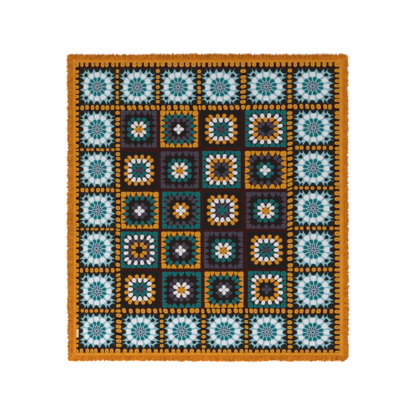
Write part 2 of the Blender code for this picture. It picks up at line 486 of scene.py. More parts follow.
# %% Colours of the print and the order of the rings
YARNS = {
    "slate": linear("3D3C49"),
    "green": linear("141B19"),
    "teal": linear("065F60"),
    "white": linear("C9C8CB"),
    "mustard": linear("BE7F1C"),
}
LETTERS = {"S": "slate", "G": "green", "T": "teal", "W": "white", "M": "mustard"}
RING_CHART = (  # one word a square, from the outer ring to the middle
    "SGTWM MTSGW GMWTS TWMSG",
    "GMWTS SGTWM TWMSG MSGTW",
    "MTGSW TSGMW GMWST SGTWM",
    "TWSMG MTGSW SGTWM GMWTS",
    "GMWTS TGSWM MTGSW TWMGS",
)
RINGS = 5
CHART = [row.split() for row in RING_CHART]
print("classic squares:", sum(len(row) for row in CHART))

# %% What is printed on each patch
GROUND, CLASSIC, SUNBURST, DOTS, UNDERSIDE = range(5)
FULL_STRIPS_ACROSS = (0, WIDE - 2)  # strips that run from edge to edge
FULL_STRIPS_DOWN = (0, TALL - 2)
FULL_REACH_ACROSS = 1.38  # edge of a dotted strip, in dots' half lengths from its middle
FULL_REACH_DOWN = 1.26
SHORT_REACH = 1.20
COUNT_APART = 20  # the dots beside each square are counted from their own number
BORDER_REACH = {  # the same for the border, from the cut edge to the squares
    "left": (-1.05, 1.42),
    "right": (-2.00, 1.42),
    "top": (-1.41, 1.75),
    "bottom": (-1.52, 1.30),
}

Patch = namedtuple("Patch", "print u_left u_right v_top v_bottom turned")


def square_patch(column, row, half_across, half_down):
    """A quarter of a square round its motif's middle."""
    ring = column in (0, WIDE - 1) or row in (0, TALL - 1)
    left = half_across - 1.0
    top = 1.0 - half_down
    return Patch(SUNBURST if ring else CLASSIC, left, left + 1.0, top, top - 1.0, False)


def dots_along(kind, dots, half, first):
    """The count of dots at both ends of a patch along a strip, counted on from this first one."""
    if kind != "square":
        return first, first + 1.0
    return first + half * dots / 2.0, first + (half + 1) * dots / 2.0


def patch_print(across, down):
    """What is printed on the patch between two main lines each way."""
    kind_a, column, half_a = patch_kind(across)
    kind_d, row, half_d = patch_kind(down)
    if kind_a == "square" and kind_d == "square":
        return square_patch(column, row, half_a, half_d)
    first = COUNT_APART * (row * MAIN_ACROSS + column)
    dots_a = dots_along(kind_a, DOTS_ACROSS[column], half_a, first)
    dots_d = dots_along(kind_d, DOTS_DOWN[row], half_d, first)
    if kind_a == "border" or across == MAIN_ACROSS - 2:
        reach = BORDER_REACH["left"] if across == 0 else BORDER_REACH["right"][::-1]
        return Patch(DOTS, *reach, *dots_d, True)
    if kind_d == "border" or down == MAIN_DOWN - 2:
        reach = BORDER_REACH["top"] if down == 0 else BORDER_REACH["bottom"][::-1]
        return Patch(DOTS, *dots_a, *reach, False)
    full_a = kind_a == "strip" and column in FULL_STRIPS_ACROSS
    full_d = kind_d == "strip" and row in FULL_STRIPS_DOWN
    in_ring_d = kind_d == "square" and row in (0, TALL - 1)
    in_ring_a = kind_a == "square" and column in (0, WIDE - 1)
    if full_a or (kind_a == "strip" and in_ring_d):
        reach = FULL_REACH_ACROSS if full_a else SHORT_REACH
        return Patch(DOTS, -reach, reach, *dots_d, True)
    if full_d or (kind_d == "strip" and in_ring_a):
        reach = FULL_REACH_DOWN if full_d else SHORT_REACH
        return Patch(DOTS, *dots_a, -reach, reach, False)
    return Patch(GROUND, 0.0, 1.0, 0.0, 1.0, False)


# %% Write the print's map and the ring colours
mesh = cloth.data
for ring in range(1, RINGS + 1):
    mesh.attributes.new("ring_%d" % ring, "FLOAT_COLOR", "FACE")
mesh.uv_layers.new(name="print")
print_map = mesh.uv_layers["print"]
TOP_LINE = len(LINES_DOWN) - 1
for face in mesh.polygons:
    corners = [divmod(vertex, ACROSS) for vertex in face.vertices]
    first_across = min(at for down, at in corners)
    first_down = min(TOP_LINE - down for down, at in corners)
    across, start_a = LINES_ACROSS[first_across]
    down, start_d = LINES_DOWN[first_down]
    patch = patch_print(across, down)
    face.material_index = patch.print
    step_a = 1.0 / patch_cells(across, MAIN_ACROSS - 2)
    step_d = 1.0 / patch_cells(down, MAIN_DOWN - 2)
    for loop, (line_down, line_across) in zip(face.loop_indices, corners):
        share_a = start_a + (line_across - first_across) * step_a
        share_d = start_d + (TOP_LINE - line_down - first_down) * step_d
        u = lerp(patch.u_left, patch.u_right, share_a)
        v = lerp(patch.v_top, patch.v_bottom, share_d)
        print_map.data[loop].uv = (v, u) if patch.turned else (u, v)
    if patch.print == CLASSIC:
        word = CHART[patch_kind(down)[1] - 1][patch_kind(across)[1] - 1]
        for ring in range(1, RINGS + 1):
            letter = word[RINGS - ring]
            mesh.attributes["ring_%d" % ring].data[face.index].color = YARNS[LETTERS[letter]]
counts = np.bincount([face.material_index for face in mesh.polygons], minlength=4)
print("faces: ground %d, classic %d, sunburst %d, dots %d" % tuple(counts[:4]))

# %% Give the sheet its thickness
pick(cloth)
solidify = cloth.modifiers.new("thickness", "SOLIDIFY")
solidify.thickness = CLOTH_TOP
solidify.offset = -1.0
bpy.ops.object.modifier_apply(modifier=solidify.name)

BAKE_TOP_START = 0.04  # the strip of the bake map that the underside and the rim share
bake_map = mesh.uv_layers.new(name="OFBake")
spots = np.array([vertex.co for vertex in mesh.vertices])
low_x, low_y = spots[:, 0].min(), spots[:, 1].min()
size_x, size_y = np.ptp(spots[:, 0]), np.ptp(spots[:, 1])
for face in mesh.polygons:
    if face.normal.z < 0.5:
        face.material_index = UNDERSIDE
    for loop in face.loop_indices:
        vertex = mesh.vertices[mesh.loops[loop].vertex_index]
        if face.normal.z < -0.5:
            vertex.co.z = 0.0
        share_x = (vertex.co.x - low_x) / size_x
        share_y = (vertex.co.y - low_y) / size_y
        if face.material_index == UNDERSIDE:
            rise = vertex.co.z * 2.0
            bake_map.data[loop].uv = (0.002 + 0.028 * share_x + rise, 0.002 + 0.98 * share_y + rise)
        else:
            bake_map.data[loop].uv = (lerp(BAKE_TOP_START, 1.0, share_x), share_y)
mesh.update()
print("sheet with thickness:", len(mesh.polygons), "faces")

# %% [markdown]
# ## How the motifs are drawn
#
# A granny square has the same petals in each of its eight wedges. So the material folds the square:
# it takes the absolute values of both coordinates and sorts them, which lays all eight wedges onto
# one, and then draws a handful of petals there. Each petal is an egg shape. A Mapping node of the
# Texture kind gives the egg's own coordinates, and their length is 1 at its outline.
#
# The real print is uneven in the same way in each square, because it is one drawing repeated. A
# noise in the square's own coordinates bends the drawing before it is folded, and so repeats too.


# %% Small sums for the shader trees
def calculate(tree, operation, *values):
    """The result of one Math node."""
    return add_node(tree, "Math", dict(enumerate(values)), operation=operation).outputs[0]


def calculate_vector(tree, operation, *values):
    """The vector result of one Vector Math node."""
    return add_node(tree, "VectorMath", dict(enumerate(values)), operation=operation).outputs[0]


def blend_colours(tree, share, first, second):
    """Two colours mixed, where share is 0 for the first and 1 for the second."""
    feeds = {0: share, 6: first, 7: second}
    return add_node(tree, "Mix", feeds, data_type="RGBA").outputs[2]


def soft_step(tree, value, start, end):
    """A smooth rise from 0 where value is start, to 1 where it is end."""
    feeds = {"Value": value, "From Min": start, "From Max": end}
    return add_node(tree, "MapRange", feeds, interpolation_type="SMOOTHSTEP").outputs[0]


def squarish_distance(tree, across, along, squareness):
    """1 on the outline of a form from -1 to 1, round where squareness is 2 and squarer above it."""
    sizes = [calculate(tree, "ABSOLUTE", value) for value in (across, along)]
    powers = [calculate(tree, "POWER", size, squareness) for size in sizes]
    return calculate(tree, "POWER", calculate(tree, "ADD", *powers), 1.0 / squareness)


Egg = namedtuple("Egg", "ring aside out half_width half_length turn taper")
EGG_SQUARENESS = 2.35
EDGE_SOFTNESS = (1.05, 0.90)


def draw_egg(tree, place, egg, inside):
    """One egg's mask, and its own coordinates added to those of the eggs before it."""
    feeds = {
        "Vector": place,
        "Location": (egg.aside, egg.out, 0.0),
        "Rotation": (0.0, 0.0, -math.radians(egg.turn)),
        "Scale": (egg.half_width, egg.half_length, 1.0),
    }
    own = add_node(tree, "Mapping", feeds, vector_type="TEXTURE").outputs[0]
    split = add_node(tree, "SeparateXYZ", {0: own})
    girth = calculate(tree, "MULTIPLY_ADD", split.outputs[1], egg.taper, 1.0)
    across = calculate(tree, "DIVIDE", split.outputs[0], girth)
    distance = squarish_distance(tree, across, split.outputs[1], EGG_SQUARENESS)
    mask = soft_step(tree, distance, *EDGE_SOFTNESS)
    marked = add_node(tree, "CombineXYZ", {0: across, 1: split.outputs[1], 2: distance}).outputs[0]
    return mask, calculate_vector(tree, "MULTIPLY_ADD", marked, mask, inside)


def draw_eggs(tree, place, eggs, inside):
    """The masks of several eggs of one colour as one mask, and their own coordinates."""
    whole = None
    for egg in eggs:
        mask, inside = draw_egg(tree, place, egg, inside)
        whole = mask if whole is None else calculate(tree, "MAXIMUM", whole, mask)
    return whole, inside


# %% [markdown]
# ## Printed cloth, as a material
#
# The cloth is a cotton and polyester weave with a printed face. Such a cloth is matt, with a faint
# sheen from its loose fibre ends. Its threads are under a millimetre apart, too fine to show, so the
# weave is drawn 3 mm apart, as coarse as it needs to show.

# %% Settings of the cloth's finish
CLOTH_ROUGHNESS = 0.90
CLOTH_GLOSS = 0.05
CLOTH_SHEEN = 0.010
WEAVE_PITCH = 0.0030
WEAVE_DEPTH = 0.00030
MAROON = linear("2A1110")
MAROON_LIGHT = linear("301412")
MAROON_DARK = linear("230D11")
MAROON_DARKEST = linear("190A0F")


def weave_height(tree, pitch):
    """The height of a plain weave: threads that pass over and under each other."""
    place = add_node(tree, "TexCoord").outputs["Object"]
    split = add_node(tree, "SeparateXYZ", {0: place})
    turns = 2.0 * math.pi / pitch
    angles = [calculate(tree, "MULTIPLY", axis, turns) for axis in split.outputs[:2]]
    waves = [calculate(tree, "SINE", angle) for angle in angles]
    crossed = calculate(tree, "MULTIPLY", *waves)
    fluff = add_node(tree, "TexNoise", {"Vector": place, "Scale": 900.0, "Detail": 2.0}).outputs[0]
    return calculate(tree, "MULTIPLY_ADD", fluff, 0.8, crossed)


def start_cloth(name):
    """A cloth material with its weave, and the tree that its colour is drawn in."""
    material = bpy.data.materials.new(name)
    material.use_nodes = True
    tree = material.node_tree
    shader = tree.nodes["Principled BSDF"]
    shader.inputs["Roughness"].default_value = CLOTH_ROUGHNESS
    shader.inputs["Specular IOR Level"].default_value = CLOTH_GLOSS
    shader.inputs["Sheen Weight"].default_value = CLOTH_SHEEN
    shader.inputs["Sheen Roughness"].default_value = 0.5
    height = weave_height(tree, WEAVE_PITCH)
    bump = add_node(tree, "Bump", {"Height": height, "Strength": 0.35, "Distance": WEAVE_DEPTH})
    tree.links.new(bump.outputs[0], shader.inputs["Normal"])
    return material, tree, height


def finish_cloth(tree, colour, height):
    """Send the colour to the shader with painted shade: a little darker down between the threads."""
    # Painted shade: the colour is darkened where the weave's height is low.
    feeds = {"Value": height, "From Min": -1.0, "From Max": 1.6, "To Min": 0.90, "To Max": 1.06}
    shade = add_node(tree, "MapRange", feeds)
    toned = calculate_vector(tree, "MULTIPLY", colour, shade.outputs[0])
    tree.links.new(toned, tree.nodes["Principled BSDF"].inputs["Base Color"])


def uneven_ground(tree, first, second):
    """The dyed ground, cloudy between two close colours."""
    place = add_node(tree, "TexCoord").outputs["Object"]
    clouds = add_node(tree, "TexNoise", {"Vector": place, "Scale": 90.0, "Detail": 3.0}).outputs[0]
    return blend_colours(tree, soft_step(tree, clouds, 0.35, 0.65), first, second)


# %% Plain ground and underside
ground_cloth, tree, height = start_cloth("printed_cotton_plain_ground")
finish_cloth(tree, uneven_ground(tree, MAROON, MAROON_LIGHT), height)

underside_cloth, tree, height = start_cloth("cotton_weave_underside")
finish_cloth(tree, uneven_ground(tree, linear("4A2B26"), linear("41231F")), height)
print("materials:", ground_cloth.name, underside_cloth.name)

# %% The classic square
CLASSIC_EGGS = (
    Egg(1, 0.000, 0.137, 0.095, 0.124, 0, 0.62),
    Egg(2, 0.148, 0.292, 0.090, 0.130, 27, 0.22),
    Egg(3, 0.000, 0.500, 0.101, 0.130, 0, 0.25),
    Egg(3, 0.300, 0.494, 0.103, 0.130, 31, 0.25),
    Egg(4, 0.165, 0.697, 0.091, 0.132, 12, 0.10),
    Egg(4, 0.510, 0.668, 0.091, 0.138, 34, 0.10),
    Egg(5, 0.000, 0.925, 0.130, 0.180, 0, 0.50),
    Egg(5, 0.338, 0.925, 0.134, 0.182, 0, 0.50),
    Egg(5, 0.600, 0.930, 0.088, 0.162, 0, 0.40),
    Egg(5, 0.860, 0.860, 0.154, 0.154, 0, 0.00),
)
SQUARE_EDGE = (0.995, 0.975)
CLASSIC_WOBBLE = 0.035
SUNBURST_WOBBLE = 0.028
WOBBLE_SCALE = 3.2


def square_coordinates(tree, seed, wobble):
    """The coordinates inside a square, bent a little by a noise that is the same in each."""
    place = add_node(tree, "UVMap", uv_map="print").outputs[0]
    seeded = calculate_vector(tree, "ADD", place, (seed, seed * 0.7, 0.0))
    feeds = {"Vector": seeded, "Scale": WOBBLE_SCALE, "Detail": 1.0}
    noise = add_node(tree, "TexNoise", feeds).outputs["Color"]
    centred = calculate_vector(tree, "SUBTRACT", noise, (0.5, 0.5, 0.5))
    bent = calculate_vector(tree, "MULTIPLY_ADD", centred, (wobble * 2.0,) * 3, place)
    split = add_node(tree, "SeparateXYZ", {0: bent})
    return split.outputs[0], split.outputs[1]


def fold_square(tree, x, y):
    """Lay the eight wedges of a square onto one: the smaller coordinate, then the larger."""
    sizes = [calculate(tree, "ABSOLUTE", value) for value in (x, y)]
    aside = calculate(tree, "MINIMUM", *sizes)
    out = calculate(tree, "MAXIMUM", *sizes)
    return add_node(tree, "CombineXYZ", {0: aside, 1: out}).outputs[0], out


def stitch_shade(tree, inside, amount):
    """Dark lines of stitches along each petal, and a darker middle."""
    split = add_node(tree, "SeparateXYZ", {0: inside})
    waves = calculate(tree, "COSINE", calculate(tree, "MULTIPLY", split.outputs[0], 9.0))
    dips = soft_step(tree, waves, 0.3, -1.0)
    middle = soft_step(tree, split.outputs[2], 0.55, 0.15)
    both = calculate(tree, "MULTIPLY_ADD", middle, 0.8, calculate(tree, "MULTIPLY", dips, 0.8))
    return calculate(tree, "SUBTRACT", 1.0, calculate(tree, "MULTIPLY", both, amount))


classic_cloth, tree, height = start_cloth("printed_cotton_classic_square")
x, y = square_coordinates(tree, 4.0, CLASSIC_WOBBLE)
folded, out = fold_square(tree, x, y)
in_square = soft_step(tree, out, *SQUARE_EDGE)
colour = uneven_ground(tree, MAROON, MAROON_LIGHT)
inside = (0.0, 0.0, 0.0)
for ring in range(1, RINGS + 1):
    eggs = [egg for egg in CLASSIC_EGGS if egg.ring == ring]
    mask, inside = draw_eggs(tree, folded, eggs, inside)
    mask = calculate(tree, "MULTIPLY", mask, in_square)
    yarn = add_node(tree, "Attribute", attribute_name="ring_%d" % ring).outputs["Color"]
    colour = blend_colours(tree, mask, colour, yarn)
colour = calculate_vector(tree, "MULTIPLY", colour, stitch_shade(tree, inside, 0.16))
finish_cloth(tree, colour, height)
print("classic square:", len(tree.nodes), "nodes")

# %% The sunburst square
RAYS = 12
RAY_TURN = 2.0 * math.pi / RAYS
SUNBURST_EGGS = {  # the teal ones lie between the rays of the others
    "dash": Egg(0, 0.0, 0.195, 0.033, 0.083, 0, 0.15),
    "white": Egg(0, 0.0, 0.662, 0.139, 0.137, 0, 0.26),
    "teal": Egg(0, 0.0, 0.399, 0.094, 0.140, 0, 0.38),
}
EDGE_EGGS = (
    Egg(0, 0.000, 1.010, 0.182, 0.234, 0, 0.32),
    Egg(0, 0.350, 1.010, 0.192, 0.275, 0, 0.58),
    Egg(0, 0.624, 1.010, 0.098, 0.224, 13, 0.32),
    Egg(0, 0.888, 0.888, 0.190, 0.190, 45, 0.00),
)
DIAMOND = Egg(0, 0.640, 0.648, 0.110, 0.114, -10, -0.50)
SUNBURST_COLOURS = {
    "dot": linear("2A1B28"),
    "eye": linear("7B99A4"),
    "hub": linear("8AA8B5"),
    "halo": linear("8EC0C8"),
    "field": linear("769EA6"),
    "spike": linear("80ABB4"),
    "dash": linear("261829"),
    "white": linear("C4C4C8"),
    "teal": linear("0B5A5E"),
    "green": linear("171E1C"),
}
RADIAL_BANDS = (  # the ground's colours outward from the middle
    (0.040, "dot"), (0.075, "eye"), (0.110, "eye"), (0.150, "hub"), (0.280, "hub"),
    (0.340, "halo"), (0.500, "halo"), (0.600, "field"), (0.800, "field"), (0.980, "spike"),
)


def fold_rays(tree, x, y, start):
    """Lay the twelve rays onto one that points up, beginning at this share of a ray."""
    angle = calculate(tree, "ADD", calculate(tree, "ARCTAN2", x, y), start * RAY_TURN)
    folded_angle = calculate(tree, "WRAP", angle, RAY_TURN / 2.0, -RAY_TURN / 2.0)
    pair = add_node(tree, "CombineXYZ", {0: x, 1: y}).outputs[0]
    radius = add_node(tree, "VectorMath", {0: pair}, operation="LENGTH").outputs["Value"]
    across = calculate(tree, "MULTIPLY", radius, calculate(tree, "SINE", folded_angle))
    along = calculate(tree, "MULTIPLY", radius, calculate(tree, "COSINE", folded_angle))
    return add_node(tree, "CombineXYZ", {0: across, 1: along}).outputs[0], radius


def band_ramp(tree, value, bands):
    """A colour ramp from a table of places and colour names."""
    ramp = add_node(tree, "ValToRGB", {0: value})
    stops = ramp.color_ramp.elements
    while len(stops) < len(bands):
        stops.new(1.0)
    for stop, (at, name) in zip(stops, bands):
        stop.position = at
        stop.color = SUNBURST_COLOURS[name]
    return ramp.outputs[0]


sunburst_cloth, tree, height = start_cloth("printed_cotton_sunburst_square")
x, y = square_coordinates(tree, 9.0, SUNBURST_WOBBLE)
straight_ray, radius = fold_rays(tree, x, y, 0.0)
between_ray, radius = fold_rays(tree, x, y, 0.5)
colour = band_ramp(tree, radius, RADIAL_BANDS)
inside = (0.0, 0.0, 0.0)
for name, egg in SUNBURST_EGGS.items():
    ray = between_ray if name == "teal" else straight_ray
    mask, inside = draw_egg(tree, ray, egg, inside)
    colour = blend_colours(tree, mask, colour, SUNBURST_COLOURS[name])
folded, out = fold_square(tree, x, y)
edge_mask, inside = draw_eggs(tree, folded, EDGE_EGGS, inside)
sizes = [calculate(tree, "ABSOLUTE", value) for value in (x, y)]
upright = add_node(tree, "CombineXYZ", dict(enumerate(sizes))).outputs[0]
diamond_mask, inside = draw_egg(tree, upright, DIAMOND, inside)
edge_mask = calculate(tree, "MAXIMUM", edge_mask, diamond_mask)
colour = blend_colours(tree, edge_mask, colour, SUNBURST_COLOURS["green"])
colour = calculate_vector(tree, "MULTIPLY", colour, stitch_shade(tree, inside, 0.05))
colour = blend_colours(tree, soft_step(tree, out, 0.985, 1.0), colour, MAROON)
finish_cloth(tree, colour, height)
print("sunburst square:", len(tree.nodes), "nodes")

# %% The dotted strips
DOT_HALF_WIDTH = 0.326  # as a share of the dots' pitch
DOT_SQUARENESS = 2.9
DOT_SHIFT = (0.26, 0.24, 0.0)  # how far a dot may lie from its place along and across its strip
DOT_SPREAD = 0.20  # of the dots' widths
DOT_COLOUR = linear("BE801F")
DOT_MIDDLE = linear("985F1B")

dotted_cloth, tree, height = start_cloth("printed_cotton_dotted_strip")
place = add_node(tree, "UVMap", uv_map="print").outputs[0]
split = add_node(tree, "SeparateXYZ", {0: place})
number = add_node(tree, "CombineXYZ", {0: calculate(tree, "FLOOR", split.outputs[0])}).outputs[0]
chance = add_node(tree, "TexWhiteNoise", {"Vector": number}).outputs["Color"]
centred = calculate_vector(tree, "SUBTRACT", chance, (0.5, 0.5, 0.5))
in_cell = calculate(tree, "SUBTRACT", calculate(tree, "FRACT", split.outputs[0]), 0.5)
in_cell = add_node(tree, "CombineXYZ", {0: in_cell, 1: split.outputs[1]}).outputs[0]
shifted = calculate_vector(tree, "MULTIPLY_ADD", centred, DOT_SHIFT, in_cell)
moved = add_node(tree, "SeparateXYZ", {0: shifted})
third_chance = add_node(tree, "SeparateXYZ", {0: centred}).outputs[2]
size = calculate(tree, "MULTIPLY_ADD", third_chance, DOT_SPREAD, 1.0)
along = calculate(tree, "DIVIDE", moved.outputs[0], calculate(tree, "MULTIPLY", size, DOT_HALF_WIDTH))
distance = squarish_distance(tree, along, moved.outputs[1], DOT_SQUARENESS)
mask = soft_step(tree, distance, *EDGE_SOFTNESS)
yarn = blend_colours(tree, soft_step(tree, distance, 0.55, 0.20), DOT_COLOUR, DOT_MIDDLE)
beside = soft_step(tree, calculate(tree, "ABSOLUTE", split.outputs[1]), 0.95, 1.25)
colour = blend_colours(tree, beside, uneven_ground(tree, MAROON_DARKEST, MAROON_DARK), MAROON_LIGHT)
finish_cloth(tree, blend_colours(tree, mask, colour, yarn), height)
print("dotted strip:", len(tree.nodes), "nodes")

# %% Dress the sheet
for material in (ground_cloth, classic_cloth, sunburst_cloth, dotted_cloth, underside_cloth):
    mesh.materials.append(material)
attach(cloth, "root")
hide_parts("printed_cloth")

# %% [markdown]
# ## The heading tape
#
# The yarns of a brush fringe are held by a flat woven tape, and the tape is sewn over the cloth's
# edge, with a mitre at each corner. It is modelled as a strip with shallow ribs along it: a grid
# primitive is laid round the tape's section, and its far edges are merged into a closed band.

# %% The tape's section
TapePoint = namedtuple("TapePoint", "depth height")
TAPE_SECTION = (
    TapePoint(0.760, 0.0001),
    TapePoint(0.760, 0.0022),
    TapePoint(0.030, 0.0023),
    TapePoint(0.000, 0.0027),
    TapePoint(0.015, 0.0035),
    TapePoint(0.080, 0.0040),
    TapePoint(0.170, 0.0039),
    TapePoint(0.230, 0.0035),
    TapePoint(0.300, 0.0040),
    TapePoint(0.420, 0.0041),
    TapePoint(0.480, 0.0036),
    TapePoint(0.550, 0.0041),
    TapePoint(0.670, 0.0041),
    TapePoint(0.730, 0.0036),
    TapePoint(0.800, 0.0041),
    TapePoint(0.920, 0.0040),
    TapePoint(0.985, 0.0034),
    TapePoint(1.000, 0.0020),
    TapePoint(0.995, 0.0001),
)
TAPE_BAY = 0.010
MITRE_GAP = 0.0003


def add_tape(side):
    """One side's heading tape as a closed band with mitred ends."""
    start, end = corner_pair(side, "tape_outer")
    bays = int((end - start).length / TAPE_BAY)
    rounds = len(TAPE_SECTION)
    deselect_all()
    bpy.ops.mesh.primitive_grid_add(x_subdivisions=bays, y_subdivisions=rounds, size=1.0)
    tape = bpy.context.object
    tape.name = "heading_tape_" + side.name
    for vertex in tape.data.vertices:
        turn, bay = divmod(vertex.index, bays + 1)
        point = TAPE_SECTION[turn % rounds]
        trim = MITRE_GAP / (end - start).length
        share = trim + (1.0 - 2.0 * trim) * bay / bays
        vertex.co = (*seam_place(side, share, point.depth), point.height)
    bpy.ops.object.mode_set(mode="EDIT")
    bpy.ops.mesh.select_all(action="SELECT")
    bpy.ops.mesh.remove_doubles(threshold=0.00001)
    bpy.ops.mesh.fill_holes(sides=0)
    bpy.ops.mesh.normals_make_consistent(inside=False)
    bpy.ops.object.mode_set(mode="OBJECT")
    bpy.ops.object.shade_smooth_by_angle(angle=math.radians(50.0))
    return tape


tapes = {side.name: add_tape(side) for side in SIDES}
print("tapes:", {name: len(tape.data.polygons) for name, tape in tapes.items()})

# %% Woven mustard tape, as a material
TAPE_COLOUR = linear("BE7614")
TAPE_LIGHT = linear("D4881F")
TAPE_OUTER = linear("BA6D14")
TAPE_GROOVE_PAINTED_SHADE = linear("AE6612")
TAPE_PITCH = 0.0032

tape_cloth = bpy.data.materials.new("woven_polyester_tape")
tape_cloth.use_nodes = True
tree = tape_cloth.node_tree
shader = tree.nodes["Principled BSDF"]
shader.inputs["Roughness"].default_value = 0.80
shader.inputs["Specular IOR Level"].default_value = 0.10
shader.inputs["Sheen Weight"].default_value = 0.02
height = weave_height(tree, TAPE_PITCH)
bump = add_node(tree, "Bump", {"Height": height, "Strength": 0.5, "Distance": 0.0004})
tree.links.new(bump.outputs[0], shader.inputs["Normal"])
spot = add_node(tree, "TexCoord").outputs["Object"]
level = add_node(tree, "SeparateXYZ", {0: spot}).outputs[2]
# Painted shade: the tape's low grooves and edges are drawn darker.
groove_painted_shade = soft_step(tree, level, 0.0040, 0.0036)
clouds = add_node(tree, "TexNoise", {"Vector": spot, "Scale": 30.0, "Detail": 3.0}).outputs[0]
tape_map = add_node(tree, "UVMap", uv_map="UVMap").outputs[0]
round_tape = add_node(tree, "SeparateXYZ", {0: tape_map}).outputs[1]
colour = blend_colours(tree, soft_step(tree, clouds, 0.3, 0.7), TAPE_COLOUR, TAPE_LIGHT)
colour = blend_colours(tree, soft_step(tree, round_tape, 0.45, 0.85), colour, TAPE_OUTER)
colour = blend_colours(tree, groove_painted_shade, colour, TAPE_GROOVE_PAINTED_SHADE)
finish_cloth(tree, colour, height)
for side in SIDES:
    tape = tapes[side.name]
    tape.data.materials.append(tape_cloth)
    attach(tape, "root")
    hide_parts("fringe_" + side.name)

# %% [markdown]
# ## One yarn of the brush fringe
#
# A brush fringe is thousands of cut yarns, so the one that is copied has very few faces: three sides
# and five rings. It is extruded ring by ring from a three-cornered circle, lies along +Y with a
# length of 1, and thins towards its tip. The copies bend and stretch it in code.

# %% Model the yarn
YARN_RINGS = 4
YARN_THINNING = (1.05, 1.0, 0.95, 0.80)

deselect_all()
across_yarn = (math.pi / 2.0, 0.0, 0.0)
bpy.ops.mesh.primitive_circle_add(vertices=3, radius=1.0, fill_type="NGON", rotation=across_yarn)
yarn_model = bpy.context.object
bpy.ops.object.transform_apply(location=True, rotation=True, scale=True)
bpy.ops.object.mode_set(mode="EDIT")
bpy.ops.mesh.select_all(action="SELECT")
for ring in range(YARN_RINGS):
    bpy.ops.mesh.extrude_region_move(TRANSFORM_OT_translate={"value": (0.0, 1.0 / YARN_RINGS, 0.0)})
    bpy.ops.transform.resize(value=(YARN_THINNING[ring], 1.0, YARN_THINNING[ring]))
bpy.ops.mesh.select_all(action="SELECT")
bpy.ops.mesh.normals_make_consistent(inside=False)
bpy.ops.mesh.quads_convert_to_tris()
bpy.ops.object.mode_set(mode="OBJECT")
YARN_SHAPE = np.array([vertex.co for vertex in yarn_model.data.vertices])
YARN_FACES = np.array([list(face.vertices) for face in yarn_model.data.polygons])
bpy.data.objects.remove(yarn_model, do_unlink=True)
print("one yarn:", len(YARN_SHAPE), "points,", len(YARN_FACES), "triangles")

# %% [markdown]
# ## Thousands of yarns
#
# Every other yarn lies low and straight, so that no floor shows through the brush. Those above are
# gathered in tufts: the yarns of one tuft lean to the same spot and curl the same way, which gives
# the fringe its ragged outline. Narrower bunches of yarns are lighter or darker together, which
# gives it its flecks. Drawn from a seeded random generator, they come out the same each time.
# The low yarns are also drawn darker, as painted shade under the tufts.

# %% Lay the yarns of one side
YARNS_PER_METRE = 2900
YARN_RADIUS = 0.00078
TUFT_PITCH = 0.0072
TUFT_PULL = 0.60
TUFT_REACH = 0.0022
TUFT_CURL = 0.0017
UNDER_SHORTER = 0.0024
REACH_SPREAD = 0.0009
ROOT_INSET = 0.0030
LOW_MIDDLE, HIGH_MIDDLE = 0.0010, 0.0078
LOW_TIP, HIGH_TIP = 0.0009, 0.0042
SIDE_CURL = 0.0010
TIP_SCATTER = 0.0008
ROOT_SCATTER = 0.0008
LOOSE = 0.15  # how much of that curl and scatter the lowest yarns have
FALL_AWAY = 0.45  # how much less a yarn reaches out for its distance from its tuft's middle
REACH_LIMITS = (-0.0095, 0.0035)
BUNCH_PITCH = 0.0045  # yarns that were dyed alike lie this wide side by side
EVERY_OTHER = 0.30  # every other bunch is lighter by so much
# The layer's share is painted shade: the low yarns under the tufts are drawn darker.
TONE_SHARES = (0.62, 0.24, 0.14)  # of a bunch, a layer and a yarn, in the shade
STATIONS = 900


